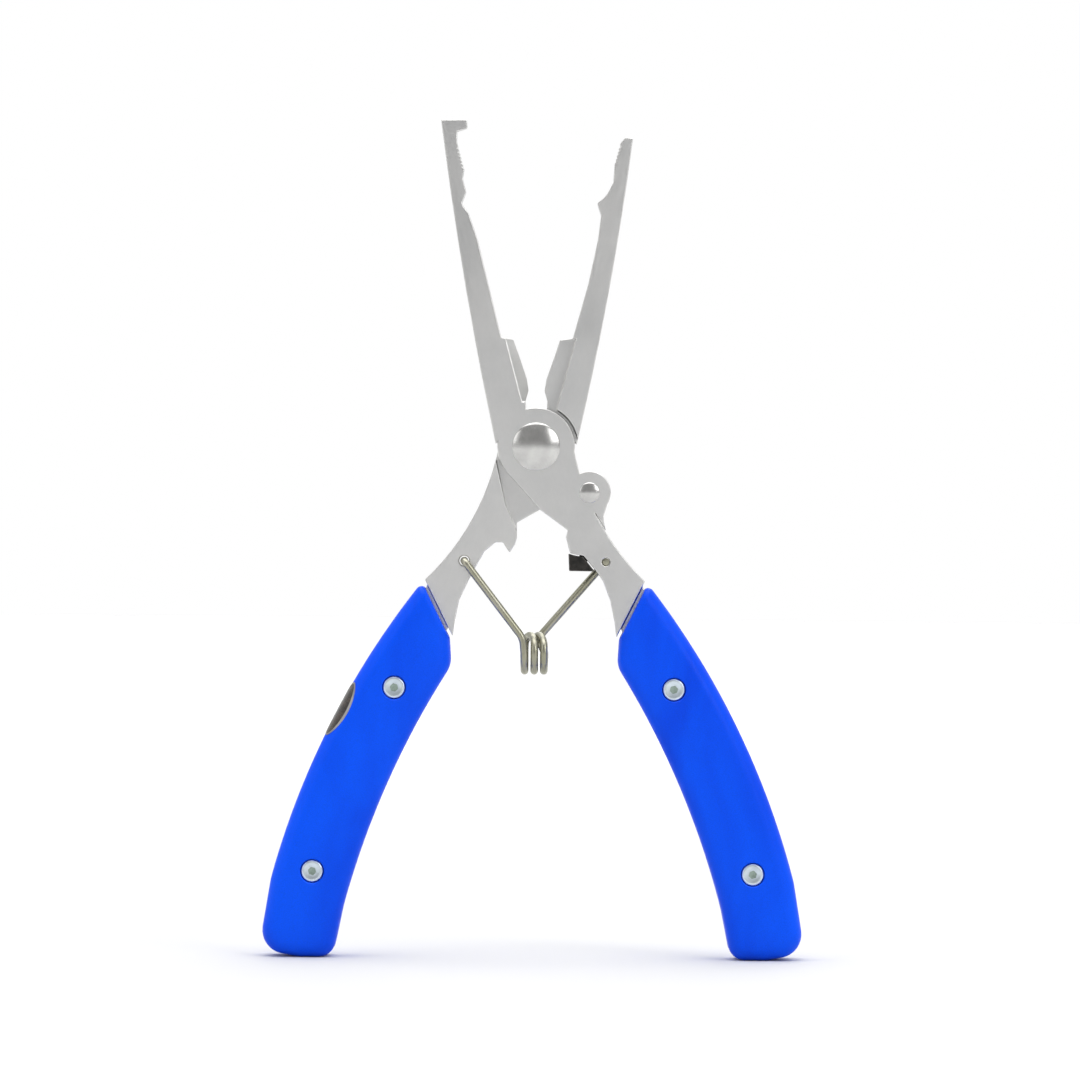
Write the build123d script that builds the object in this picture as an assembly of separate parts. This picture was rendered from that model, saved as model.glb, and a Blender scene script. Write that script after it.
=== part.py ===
from build123d import *
from math import acos, cos, degrees, radians, sin
import os

# Fishing pliers: two stainless steel halves crossing at a pivot, screwed-on plastic grips, a wire
# spring between the shanks and a small lock lever. They stand on their handle ends, fully open.
# X runs to the right, Y to the back and Z up. The origin is on the ground under the pivot.
# Each half is drawn closed, with the pivot at (0, 0), then turned open and lifted to its height.
# The front half is the left jaw, the front pivot disc and the right handle. The back half is the
# right jaw, the rear pivot disc and the left handle. All lengths are in millimetres.

# Whole tool
HALF_OPENING = 15.0  # degrees that each half turns between closed and fully open
PIVOT_HEIGHT = 120.0
LEFT = -1
RIGHT = 1

# Steel halves
STEEL_HALF = 3.5  # half the thickness of jaws and shanks
LAP_GAP = 0.05  # each pivot disc stands this far from the mid-plane
DISC_RADIUS = 9.1
POCKET_RADIUS = 9.9  # the recess in the other half around a pivot disc

# Jaws, closed
JAW_FOOT = (9.05, 3.0)
JAW_BULGE = (6.25, 45.0)
LEFT_JAW_TIP = (2.4, 79.9)  # mirrored to the left where it is used
RIGHT_JAW_TIP = (2.6, 75.8)
TAPER_START = 28.0  # height above the pivot where the jaws start to thin
TIP_HALF = 1.7  # half the thickness at the tip
PAD_LOW = 67.2  # the gripping pads at the jaw tips
PAD_HIGH = 73.4
PAD_GAP = 0.05
RIGHT_PAD_LOW = 68.8
GROOVE_PITCH = 0.9
GROOVE_DEPTH = 0.28
GROOVE_HALF = 0.3  # half the height of a groove where it opens
BLADE_TOP = 26.8
BLADE_CLEARANCE = 2.3  # the other layer of the same jaw stops here, clear of the opposite blade
BEVEL_BOTTOM = 10.9  # the ground bevel runs from here up to the top of the blade
BEVEL_WIDTH = 2.6
BEVEL_OVERCUT = 1.5  # how far the grinding reaches past the cutting edge
EDGE_LAND = 0.5  # the bevel stops this far in front of the mid-plane

# Shanks, closed
STOP_FACE = 1.4  # the two stop lugs meet at this X
STOP_GAP = 0.05
SHOULDER_OUT = (16.8, -37.0)  # where the full thickness ends, above the grip
SHOULDER_IN = (7.0, -48.1)
SPRING_HOLE = (9.1, -30.3)
LUG_END_ANGLE = 250.0  # the right lug's far corner, about the rivet
TOOTH_TIP_ANGLE = 234.0  # the tip of the left lug's tooth, about the rivet
TOOTH_FLANK_ANGLE = 223.0  # where the tooth's curved flank ends

# Lock lever, closed
RIVET = (9.4, -13.6)
RIVET_RADIUS = 1.6
RIVET_HEAD_RADIUS = 2.4
RIVET_HEAD_RISE = 0.9
EAR_RADIUS = 5.0
HOOK_RADIUS = 14.85  # the tooth's flank and the lug's end, about the rivet
NOSE_RADIUS = 15.1  # the inner side of the lever's nose, about the rivet
LEVER_ANGLE = 254.0  # the way the lever points when it is free
LEVER_HALF_WIDTH = 1.9
LEVER_HALF = 1.0  # half the thickness of the lever's arm
NOSE_HALF = 3.35  # half the thickness of its nose
EYE_RADIUS = 3.6
SLOT_HALF = 1.2
SLOT_SIDE_GAP = 0.4
SLOT_REACH = 17.2
SLOT_EYE_RADIUS = 4.0

# Pivot bolt
BOLT_RADIUS = 3.0
RUNNING_GAP = 0.05
HEAD_RADIUS = 5.6
HEAD_RISE = 1.5
WASHER_RADIUS = 5.2
WASHER_THICKNESS = 0.6
NUT_RADIUS = 4.7
NUT_THICKNESS = 2.4
NUT_CHAMFER = 0.6
NUT_CAP = 0.6  # the closed end of the nut's bore
SPANNER_HOLE_RADIUS = 0.6
SPANNER_HOLE_OFFSET = 3.0
SPANNER_HOLE_DEPTH = 0.5

# Spring wire
WIRE_RADIUS = 0.9
COIL_RADIUS = 4.15
COIL_HALF_WIDTH = 2.4
COIL_CENTRE = -48.5  # below the pivot, in the open tool
COIL_TURNS = 2.5
ARM_END = -45.0  # height of the two bends where the arms meet the coil's tails
ARM_OFFSET = STEEL_HALF + WIRE_RADIUS + 0.2  # depth of the arms, clear of the steel
ARM_BEND = 1.3
HOOK_INSET = 6.6  # how far each hook goes into its hole
KNUCKLE_RADIUS = 0.94  # the rounded bends where the arms turn against the tails
KNUCKLE_HALF = 0.4
KNUCKLE_GAP = 0.1
RIGHT_HOLE_RADIUS = WIRE_RADIUS + 0.1
LEFT_HOLE_RADIUS = WIRE_RADIUS + 0.3

# Grips, closed
GRIP_HALF = 7.5  # the outer face of each scale
GRIP_ROUND = 3.0
TANG_HALF = 2.0
TANG_INSET = 4.5
POCKET_GAP = 0.1
FOOT_INNER = 46.7  # the flat foot at the handle's end, in the open tool
FOOT_OUTER = 54.5
GRIP_TOP_OUT = (17.3, -37.7)
GRIP_TOP_IN = (7.5, -48.8)
GRIP_HEEL = (32.9, -114.0)
GRIP_END = (31.2, -130.9)
GRIP_TOE = (14.8, -116.0)
GRIP_THROAT = (5.5, -54.8)
GRIP_BACK = (29.8, -79.0)  # the middle of the outer edge
GRIP_PALM = (12.7, -86.3)  # the middle of the inner edge
SCREWS = {"upper": (16.95, -63.2), "lower": (23.95, -109.7)}

# Grip screws and sleeve nuts
SCREW_HEAD_RADIUS = 2.65
SCREW_SEAT_RADIUS = 2.95
SCREW_HEAD_THICKNESS = 1.7
SCREW_SUNK = 0.25
SCREW_EDGE_ROUND = 0.5
SCREW_RADIUS = 1.5
SCREW_REACH = 4.5  # how far screw and sleeve reach past the mid-plane
SLEEVE_RADIUS = 2.1
SLEEVE_BORE = 1.55
BORE_END_ROOM = 0.1
HEX_RADIUS = 1.0
HEX_DEPTH = 1.2

# Badge
BADGE_CENTRE = (27.75, -71.4)
BADGE_FRONT = 5.8  # how far its middle stands in front of the mid-plane
BADGE_LENGTH = 14.0
BADGE_WIDTH = 5.2
BADGE_DEPTH = 2.6
BADGE_FACING = 0.5  # how much of the badge's direction is to the front, beside sideways
BADGE_TILT = 14.0  # degrees that the grip's edge leans from upright
BADGE_ROOM = 2.0  # the plug's cutting solid reaches this far past the grip's surface


def mirrored(points, side):
    """The same points on the left (-1) or the right (1)."""
    return [(side * x, z) for x, z in points]


def about(centre, radius, angle):
    """A point at an angle and a distance from a centre."""
    return (centre[0] + radius * cos(radians(angle)), centre[1] + radius * sin(radians(angle)))


def plate(outline, y_low, y_high):
    """Thickens an outline drawn in X and Z into a plate between two depths."""
    return extrude(Plane.XZ.offset(-y_high) * outline, amount=y_high - y_low)


def rod(centre, radius, y_low, y_high):
    """A round bar along Y through a point given in X and Z."""
    middle = Pos(centre[0], (y_low + y_high) / 2, centre[1])
    return middle * Rot(90, 0, 0) * Cylinder(radius, y_high - y_low)


def dome(centre, radius, rise, y_base, facing):
    """A domed head on a flat base, rising to the front (-1) or to the back (1)."""
    ball_radius = (radius**2 + rise**2) / (2 * rise)
    ball = Pos(centre[0], y_base + facing * (rise - ball_radius), centre[1]) * Sphere(ball_radius)
    y_tip = y_base + facing * rise
    return ball & rod(centre, radius, min(y_base, y_tip), max(y_base, y_tip))


def opened(shape, side):
    """Turns a closed half open and lifts it: side is that of its handle."""
    return Pos(0, 0, PIVOT_HEIGHT) * Rot(0, -side * HALF_OPENING, 0) * shape


def closed_point(x, z):
    """A point of the open right handle, given in the closed drawing."""
    turn = radians(HALF_OPENING)
    return (x * cos(turn) + z * sin(turn), z * cos(turn) - x * sin(turn))


def outer_jaw_edge(side, tip):
    """The jaw's smooth outer edge, from its foot up to its tip."""
    return ThreePointArc(*mirrored([JAW_FOOT, JAW_BULGE, tip], side))


def left_jaw_outline():
    """The front layer of the left jaw: split-ring tooth, pad, crimping notch and cutting blade."""
    inner = [
        (-LEFT_JAW_TIP[0], LEFT_JAW_TIP[1]),
        (3.5, 78.4),
        (3.1, 76.4),
        (0.6, 76.3),
        (-PAD_GAP, PAD_HIGH + 0.6),
        (-PAD_GAP, PAD_LOW),
        (-0.9, 65.2),
        (-0.9, 62.0),
        (-2.5, 59.8),
        (-2.4, 58.8),
        (-1.6, 57.0),
        (-1.1, 50.5),
        (-1.5, BLADE_TOP),
        (1.1, 25.7),
        (1.5, 21.5),
        (1.9, 16.0),
        (1.6, 13.2),
        (0.3, 11.0),
        (-0.3, 8.0),
        (-JAW_FOOT[0], JAW_FOOT[1]),
    ]
    return make_face(outer_jaw_edge(LEFT, LEFT_JAW_TIP) + Polyline(*inner))


def right_jaw_outline():
    """The back layer of the right jaw: plain tip, pad, crimping tooth and cutting blade."""
    inner = [
        RIGHT_JAW_TIP,
        (0.8, 75.6),
        (PAD_GAP, PAD_HIGH + 0.5),
        (PAD_GAP, RIGHT_PAD_LOW),
        (0.9, 64.6),
        (0.3, 61.7),
        (-0.4, 60.3),
        (-1.4, 58.9),
        (-0.5, 57.4),
        (0.2, 56.4),
        (1.0, 50.8),
        (1.6, 40.0),
        (1.5, BLADE_TOP),
        (-1.3, 25.7),
        (-1.5, 21.5),
        (-1.9, 16.0),
        (-1.6, 13.2),
        (-0.3, 11.0),
        (0.3, 8.0),
        JAW_FOOT,
    ]
    return make_face(outer_jaw_edge(RIGHT, RIGHT_JAW_TIP) + Polyline(*inner))


def blade_relief(side):
    """The part of a jaw that its thick layer gives up to the opposite blade."""
    edge = side * BLADE_CLEARANCE
    far = -side * 12.0
    return make_face(Polyline((edge, 0), (edge, BLADE_TOP), (far, BLADE_TOP), (far, 0), close=True))


def taper():
    """The space between the two tapering faces of the jaws."""
    room = 5.0
    bottom = -60.0
    top = LEFT_JAW_TIP[1] + room
    half = TIP_HALF - (STEEL_HALF - TIP_HALF) * room / (LEFT_JAW_TIP[1] - TAPER_START)
    side_view = Polyline(
        (-STEEL_HALF, bottom),
        (-STEEL_HALF, TAPER_START),
        (-half, top),
        (half, top),
        (STEEL_HALF, TAPER_START),
        (STEEL_HALF, bottom),
        close=True,
    )
    return extrude(Plane.YZ * make_face(side_view), amount=-bottom, both=True)


def pad_grooves(side, pad_low):
    """Fine grooves across a jaw's gripping pad."""
    count = int((PAD_HIGH - pad_low) / GROOVE_PITCH)
    surface = side * PAD_GAP
    first = pad_low + 0.7 * GROOVE_PITCH
    grooves = Part()
    for index in range(count):
        z = first + index * GROOVE_PITCH
        groove = Polyline(
            (0, z - GROOVE_HALF),
            (surface + side * GROOVE_DEPTH, z),
            (0, z + GROOVE_HALF),
            close=True,
        )
        grooves += plate(make_face(groove), -STEEL_HALF, STEEL_HALF)
    return grooves


def blade_bevel(facing):
    """The ground bevel behind a cutting edge, on the front (-1) or the back (1)."""
    edge = -facing * 2.0
    root = edge + facing * BEVEL_WIDTH
    past = edge - facing * BEVEL_OVERCUT
    land = facing * EDGE_LAND
    above = facing * (STEEL_HALF + 1)
    section = Polyline(
        (edge, land),
        (past, land),
        (past, above),
        (root, above),
        (root, facing * STEEL_HALF),
        close=True,
    )
    return Pos(0, 0, BEVEL_BOTTOM) * extrude(make_face(section), amount=BLADE_TOP - BEVEL_BOTTOM)


def shank_outer_edge(side):
    """From the pivot disc down to the grip's shoulder."""
    return ThreePointArc(*mirrored([(8.4, -3.4), (9.6, -19.0), SHOULDER_OUT], side))


def right_shank_outline():
    """The front half below the pivot: stop lug, ear, the web behind the ear, and shank."""
    face = STOP_FACE + STOP_GAP
    lug_angle = 180 + degrees(acos((RIVET[0] - face) / HOOK_RADIUS))
    lug_low = about(RIVET, HOOK_RADIUS, lug_angle)
    lug_end = about(RIVET, HOOK_RADIUS, LUG_END_ANGLE)
    lug_middle = about(RIVET, HOOK_RADIUS, (LUG_END_ANGLE + lug_angle) / 2)
    inner = [SHOULDER_OUT, SHOULDER_IN, (7.5, -44.5), (7.8, -39.5), (7.3, -34.5), (6.5, -32.2), lug_end]
    web = [(12.9, -17.1), (11.2, -19.8), (10.95, -21.0), (10.9, -23.2), (9.4, -18.0)]
    crotch = [lug_low, (face, -22.3), (2.3, -20.9), (-2.8, -14.6), (-8.1, -4.1), (0, 0), (8.4, -3.4)]
    outline = shank_outer_edge(RIGHT) + Polyline(*inner) + Polyline(*crotch)
    outline += ThreePointArc(lug_end, lug_middle, lug_low)
    ear = Pos(*RIVET) * Circle(EAR_RADIUS)
    return make_face(outline) + ear + make_face(Polyline(*web, close=True))


def left_shank_outline():
    """The back half below the pivot: hooked stop lug and shank."""
    face = STOP_FACE - STOP_GAP
    tooth_tip = about(RIVET, HOOK_RADIUS, TOOTH_TIP_ANGLE)
    flank_middle = about(RIVET, HOOK_RADIUS, (TOOTH_TIP_ANGLE + TOOTH_FLANK_ANGLE) / 2)
    flank_end = about(RIVET, HOOK_RADIUS, TOOTH_FLANK_ANGLE)
    shank = [SHOULDER_OUT, SHOULDER_IN, (7.5, -44.5), (7.8, -39.5), (6.9, -34.5)]
    inner = mirrored(shank, LEFT) + [(-5.9, -30.0), (-5.1, -26.9), (-3.2, -24.2), flank_end]
    lug = [tooth_tip, (face, -23.4), (face, -21.8), (0.4, -18.4), (4.75, -14.05)]
    lug += [(8.63, -2.89), (0, 0), (-8.4, -3.4)]
    outline = shank_outer_edge(LEFT) + Polyline(*inner) + Polyline(*lug)
    outline += ThreePointArc(flank_end, flank_middle, tooth_tip)
    return make_face(outline)


def back_half_room():
    """What the front half leaves free behind it for the back half's disc and shank."""
    face = STOP_FACE + STOP_GAP
    right = [(9.6, -2.9), (5.4, -14.2), (2.9, -17.0), (face, -19.9)]
    edge = Polyline((0, 0), *right, (-12, -19.9), (-12, 0), close=True)
    return make_face(edge) + Circle(POCKET_RADIUS)


def front_half_room():
    """What the back half leaves free in front of it for the front half's disc and shank."""
    edge = Polyline((0, 0), (-9.2, -3.8), (-3.3, -15.0), (1.0, -20.5), (12, -20.5), (12, 0), close=True)
    return make_face(edge) + Circle(POCKET_RADIUS)


def grip_outline(side):
    """One grip seen from the front, slanted at the top and rounded at its foot."""
    foot_inner = closed_point(FOOT_INNER, -PIVOT_HEIGHT)
    foot_outer = closed_point(FOOT_OUTER, -PIVOT_HEIGHT)
    outer = ThreePointArc(*mirrored([GRIP_TOP_OUT, GRIP_BACK, GRIP_HEEL], side))
    foot = Polyline(*mirrored([GRIP_HEEL, GRIP_END, foot_outer, foot_inner, GRIP_TOE], side))
    inner = ThreePointArc(*mirrored([GRIP_TOE, GRIP_PALM, GRIP_THROAT], side))
    top = Polyline(*mirrored([GRIP_THROAT, GRIP_TOP_IN, GRIP_TOP_OUT], side))
    outline = Sketch() + make_face(outer + foot + inner + top)
    corner_radii = {
        GRIP_HEEL: 14.0,
        GRIP_END: 5.6,
        foot_outer: 5.0,
        foot_inner: 4.0,
        GRIP_TOE: 14.0,
        GRIP_THROAT: 6.0,
        GRIP_TOP_IN: 2.6,
        GRIP_TOP_OUT: 1.2,
    }
    for (x, z), radius in corner_radii.items():
        corner = outline.vertices().sort_by_distance((side * x, z, 0))[0]
        outline = fillet(corner, radius)
    return outline


def tang_outline(side):
    """The thin tongue of a half inside its grip."""
    neck = [(7.9, -40.0), (8.9, -49.0), (11.2, -58.0), (21.7, -58.0), (17.7, -44.5), (15.4, -36.0)]
    body = offset(grip_outline(side), amount=-TANG_INSET)
    return body + make_face(Polyline(*mirrored(neck, side), close=True))


def lock_slot():
    """The slot through the lug in which the lever swings."""
    wall = LEVER_HALF_WIDTH + SLOT_SIDE_GAP
    start = about(RIVET, wall, LEVER_ANGLE + 90)
    right_wall_end = about(start, SLOT_REACH, LEVER_ANGLE)
    corners = [
        start,
        right_wall_end,
        about(RIVET, SLOT_REACH, TOOTH_TIP_ANGLE + 1),
        about(RIVET, SLOT_REACH + 4, TOOTH_FLANK_ANGLE - 1),
        about(RIVET, SLOT_EYE_RADIUS, 145),
    ]
    return Pos(*RIVET) * Circle(SLOT_EYE_RADIUS) + make_face(Polyline(*corners, close=True))


def tang_with_holes(side):
    """The tang, bored for the two sleeve nuts."""
    tang = plate(tang_outline(side), -TANG_HALF, TANG_HALF)
    for x, z in SCREWS.values():
        tang -= rod((side * x, z), SLEEVE_RADIUS + RUNNING_GAP, -STEEL_HALF, STEEL_HALF)
    return tang


def front_half():
    """Left jaw, front pivot disc, right shank and its tang."""
    front = left_jaw_outline() + Circle(DISC_RADIUS) + right_shank_outline()
    back = (left_jaw_outline() - blade_relief(LEFT)) + (right_shank_outline() - back_half_room())
    back -= Circle(POCKET_RADIUS)
    half = plate(front, -STEEL_HALF, -LAP_GAP) + plate(back, -LAP_GAP, STEEL_HALF)
    half = half & taper()
    half -= blade_bevel(-1)
    half -= pad_grooves(LEFT, PAD_LOW)
    half -= plate(lock_slot(), -SLOT_HALF, SLOT_HALF)
    half -= rod(RIVET, RIVET_RADIUS, -STEEL_HALF, STEEL_HALF)
    half -= rod((0, 0), BOLT_RADIUS, -STEEL_HALF, STEEL_HALF)
    half -= rod(SPRING_HOLE, RIGHT_HOLE_RADIUS, -STEEL_HALF, STEEL_HALF)
    return half + tang_with_holes(RIGHT)


def back_half():
    """Right jaw, rear pivot disc, left shank and its tang."""
    back = right_jaw_outline() + Circle(DISC_RADIUS) + left_shank_outline()
    front = (right_jaw_outline() - blade_relief(RIGHT)) + (left_shank_outline() - front_half_room())
    front -= Circle(POCKET_RADIUS)
    half = plate(back, LAP_GAP, STEEL_HALF) + plate(front, -STEEL_HALF, LAP_GAP)
    half = half & taper()
    half -= blade_bevel(1)
    half -= pad_grooves(RIGHT, RIGHT_PAD_LOW)
    half -= rod((0, 0), BOLT_RADIUS + RUNNING_GAP, -STEEL_HALF, STEEL_HALF)
    half -= rod((-SPRING_HOLE[0], SPRING_HOLE[1]), LEFT_HOLE_RADIUS, -STEEL_HALF, STEEL_HALF)
    return half + tang_with_holes(LEFT)


def pivot_bolt():
    """Domed head in front, plain shaft through both discs, threaded end in the nut."""
    head = dome((0, 0), HEAD_RADIUS, HEAD_RISE, -STEEL_HALF, -1)
    end = STEEL_HALF + WASHER_THICKNESS + NUT_THICKNESS - NUT_CAP
    return head + rod((0, 0), BOLT_RADIUS, -STEEL_HALF, end)


def pivot_washer():
    """Thin ring between the back disc and the nut."""
    y_low = STEEL_HALF + LAP_GAP
    ring = rod((0, 0), WASHER_RADIUS, y_low, y_low + WASHER_THICKNESS)
    return ring - rod((0, 0), BOLT_RADIUS + RUNNING_GAP, y_low, y_low + WASHER_THICKNESS)


def pivot_nut():
    """Low round nut with two spanner holes and a blind bore."""
    y_low = STEEL_HALF + LAP_GAP + WASHER_THICKNESS
    y_high = y_low + NUT_THICKNESS
    nut = rod((0, 0), NUT_RADIUS, y_low, y_high)
    nut = chamfer(nut.faces().sort_by(Axis.Y)[-1].edges(), NUT_CHAMFER)
    nut -= rod((0, 0), BOLT_RADIUS, y_low, y_high - NUT_CAP - LAP_GAP)
    for side in (LEFT, RIGHT):
        place = (side * SPANNER_HOLE_OFFSET, 0)
        nut -= rod(place, SPANNER_HOLE_RADIUS, y_high - SPANNER_HOLE_DEPTH, y_high)
    return nut


def lock_lever():
    """A flat arm from the rivet in the slot of the lug, with a full-width nose below the lug."""
    arm_end = about(RIVET, NOSE_RADIUS + 1.0, LEVER_ANGLE)
    corners = [
        about(RIVET, LEVER_HALF_WIDTH, LEVER_ANGLE + 90),
        about(arm_end, LEVER_HALF_WIDTH, LEVER_ANGLE + 90),
        about(arm_end, LEVER_HALF_WIDTH, LEVER_ANGLE - 90),
        about(RIVET, LEVER_HALF_WIDTH, LEVER_ANGLE - 90),
    ]
    arm = make_face(Polyline(*corners, close=True)) + Pos(*RIVET) * Circle(EYE_RADIUS)
    nose_corners = [(1.45, -24.5), (0.2, -30.2), (6.0, -31.8), (4.0, -27.4), (3.6, -24.5)]
    nose = make_face(Polyline(*nose_corners, close=True)) - Pos(*RIVET) * Circle(NOSE_RADIUS)
    lever = plate(arm, -LEVER_HALF, LEVER_HALF) + plate(nose, -NOSE_HALF, NOSE_HALF)
    return lever - rod(RIVET, RIVET_RADIUS + RUNNING_GAP, -STEEL_HALF, STEEL_HALF)


def lock_rivet():
    """A rivet through the ear, domed at both ends."""
    rivet = rod(RIVET, RIVET_RADIUS, -STEEL_HALF, STEEL_HALF)
    for facing in (-1, 1):
        rivet += dome(RIVET, RIVET_HEAD_RADIUS, RIVET_HEAD_RISE, facing * STEEL_HALF, facing)
    return rivet


def grip_scale(side, facing):
    """One half of a grip, hollowed for the tang and bored for its screws: facing is -1 in front."""
    inner, outer = sorted((0, facing * GRIP_HALF))
    scale = plate(grip_outline(side), inner, outer)
    scale = fillet(scale.faces().sort_by(Axis.Y)[0 if facing < 0 else -1].edges(), GRIP_ROUND)
    pocket = offset(tang_outline(side), amount=POCKET_GAP)
    depth = facing * (TANG_HALF + POCKET_GAP / 2)
    scale -= plate(pocket, min(0, depth), max(0, depth))
    seat = facing * (GRIP_HALF - SCREW_SUNK - SCREW_HEAD_THICKNESS)
    face = facing * GRIP_HALF
    for x, z in SCREWS.values():
        scale -= rod((side * x, z), SLEEVE_RADIUS + RUNNING_GAP, inner, outer)
        scale -= rod((side * x, z), SCREW_SEAT_RADIUS, min(seat, face), max(seat, face))
    return scale


def badge_plug():
    """The oval space of the inlay, on the rounded outer front edge of the left grip."""
    plane = Plane(
        origin=(-BADGE_CENTRE[0], -BADGE_FRONT, BADGE_CENTRE[1]),
        x_dir=(sin(radians(BADGE_TILT)), 0, cos(radians(BADGE_TILT))),
        z_dir=(-cos(radians(BADGE_TILT)), -BADGE_FACING, sin(radians(BADGE_TILT))),
    )
    oval = plane.offset(-BADGE_DEPTH) * Ellipse(BADGE_LENGTH / 2, BADGE_WIDTH / 2)
    return extrude(oval, amount=BADGE_DEPTH + BADGE_ROOM)


def hex_socket(centre, y_face, facing):
    """A six-sided recess in a screw's head."""
    floor = y_face - facing * HEX_DEPTH
    outline = Pos(*centre) * RegularPolygon(HEX_RADIUS, 6)
    return plate(outline, min(floor, y_face), max(floor, y_face))


def round_head(centre, facing):
    """A flat round head with a broken edge, just under the grip's face."""
    y_face = facing * (GRIP_HALF - SCREW_SUNK)
    y_seat = y_face - facing * SCREW_HEAD_THICKNESS
    head = rod(centre, SCREW_HEAD_RADIUS, min(y_face, y_seat), max(y_face, y_seat))
    rim = head.faces().sort_by(Axis.Y)[0 if facing < 0 else -1].edges()
    return fillet(rim, SCREW_EDGE_ROUND), y_face, y_seat


def grip_screw(centre):
    """Socket screw from the front."""
    head, y_face, y_seat = round_head(centre, -1)
    shank = rod(centre, SCREW_RADIUS, y_seat, SCREW_REACH)
    return head + shank - hex_socket(centre, y_face, -1)


def sleeve_nut(centre):
    """Sleeve nut from the back, reaching forward through the tang."""
    head, y_face, y_seat = round_head(centre, 1)
    sleeve = rod(centre, SLEEVE_RADIUS, -SCREW_REACH, y_seat)
    bore = rod(centre, SLEEVE_BORE, -SCREW_REACH, SCREW_REACH + BORE_END_ROOM)
    return head + sleeve - bore - hex_socket(centre, y_face, 1)


def spring_hole_open():
    """The right spring hole in the open tool, from the pivot."""
    turn = radians(HALF_OPENING)
    x, z = SPRING_HOLE
    return (x * cos(turn) - z * sin(turn), x * sin(turn) + z * cos(turn))


def spring_arm(side):
    """One arm: a hook in the shank's hole, a bend, and a straight run to the coil."""
    x, z = spring_hole_open()
    hole = Vector(side * x, side * ARM_OFFSET, z)
    knuckle = Vector(side * COIL_HALF_WIDTH, side * COIL_RADIUS, ARM_END)
    reach = (hole - knuckle).normalized()
    end = knuckle + reach * (WIRE_RADIUS + KNUCKLE_GAP)
    inside = Vector(hole.X, side * (STEEL_HALF - HOOK_INSET), hole.Z)
    path = FilletPolyline(inside, hole, end, radius=ARM_BEND)
    wire = sweep(Plane(origin=inside, z_dir=(0, side, 0)) * Circle(WIRE_RADIUS), path=path)
    return Pos(0, 0, PIVOT_HEIGHT) * wire


def spring_coil():
    """Two and a half turns about X, with a straight tail up to each arm."""
    pitch = 2 * COIL_HALF_WIDTH / COIL_TURNS
    turns = Helix(pitch=pitch, height=2 * COIL_HALF_WIDTH, radius=COIL_RADIUS)
    coil = sweep(Plane(origin=turns @ 0, z_dir=turns % 0) * Circle(WIRE_RADIUS), path=turns)
    coil = Plane(origin=(COIL_HALF_WIDTH, 0, COIL_CENTRE), x_dir=(0, 1, 0), z_dir=(-1, 0, 0)) * coil
    for side in (LEFT, RIGHT):
        x = side * COIL_HALF_WIDTH
        y = side * COIL_RADIUS
        tail_length = ARM_END - COIL_CENTRE
        coil += Pos(x, y, (ARM_END + COIL_CENTRE) / 2) * Cylinder(WIRE_RADIUS, tail_length)
        coil += Pos(x, y, COIL_CENTRE) * Sphere(KNUCKLE_RADIUS)
        coil += Pos(x, y, ARM_END) * Sphere(KNUCKLE_RADIUS)
        coil += rod((x, ARM_END), KNUCKLE_RADIUS, y - KNUCKLE_HALF, y + KNUCKLE_HALF)
    return Pos(0, 0, PIVOT_HEIGHT) * coil


def write(node, shape):
    """Writes one piece as parts/NODE.step."""
    shape.label = node
    export_step(shape, f"parts/{node}.step")


def main():
    os.makedirs("parts", exist_ok=True)
    front = front_half()
    write("front_half", opened(front, RIGHT))
    write("back_half", opened(back_half(), LEFT))
    write("pivot_bolt", opened(pivot_bolt(), RIGHT))
    write("pivot_washer", opened(pivot_washer(), RIGHT))
    write("pivot_nut", opened(pivot_nut(), RIGHT))
    write("lock_lever", opened(lock_lever(), RIGHT))
    write("lock_rivet", opened(lock_rivet(), RIGHT))
    for name, side in (("left", LEFT), ("right", RIGHT)):
        for place, facing in (("front", -1), ("back", 1)):
            scale = grip_scale(side, facing)
            if name == "left" and place == "front":
                write("left_badge", opened(scale & badge_plug(), side))
                scale -= badge_plug()
            write(f"{name}_grip_{place}", opened(scale, side))
        for place, (x, z) in SCREWS.items():
            write(f"{name}_{place}_screw", opened(grip_screw((side * x, z)), side))
            write(f"{name}_{place}_nut", opened(sleeve_nut((side * x, z)), side))
        write(f"spring_{name}_arm", spring_arm(side))
    write("spring_coil", spring_coil())


main()
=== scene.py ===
"""Fishing pliers standing open on their handle ends: the looks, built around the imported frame.

Metres, X to the right, Y to the back, Z up, origin on the ground under the pivot. Each half of the
pliers is described closed, about the pivot, in millimetres, and turned open when its mesh is made.
The spring is described as it stands, in millimetres from the origin.
"""
import bmesh
import bpy
import math
import numpy as np
from mathutils import Matrix, Vector


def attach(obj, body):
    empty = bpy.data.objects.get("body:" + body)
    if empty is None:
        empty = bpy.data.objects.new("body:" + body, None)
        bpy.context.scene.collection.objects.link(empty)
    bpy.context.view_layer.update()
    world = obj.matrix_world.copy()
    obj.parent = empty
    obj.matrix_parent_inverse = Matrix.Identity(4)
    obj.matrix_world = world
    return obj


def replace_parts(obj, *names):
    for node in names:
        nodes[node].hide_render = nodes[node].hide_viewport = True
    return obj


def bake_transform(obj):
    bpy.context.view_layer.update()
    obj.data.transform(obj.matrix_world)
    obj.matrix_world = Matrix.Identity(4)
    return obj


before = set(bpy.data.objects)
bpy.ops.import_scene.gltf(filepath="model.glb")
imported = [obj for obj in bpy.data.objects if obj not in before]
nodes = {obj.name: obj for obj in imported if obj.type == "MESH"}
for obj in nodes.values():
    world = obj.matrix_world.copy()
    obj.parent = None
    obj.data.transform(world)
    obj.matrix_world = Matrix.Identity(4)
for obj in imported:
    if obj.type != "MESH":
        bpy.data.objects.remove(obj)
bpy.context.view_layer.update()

MM = 0.001
PIVOT_HEIGHT = 120.0
HALF_OPENING = math.radians(15.0)
LEFT = -1
RIGHT = 1
scene = bpy.context.scene
scene.view_settings.view_transform = "Standard"
scene.view_settings.look = "None"


# ---------------------------------------------------------------- camera

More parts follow.
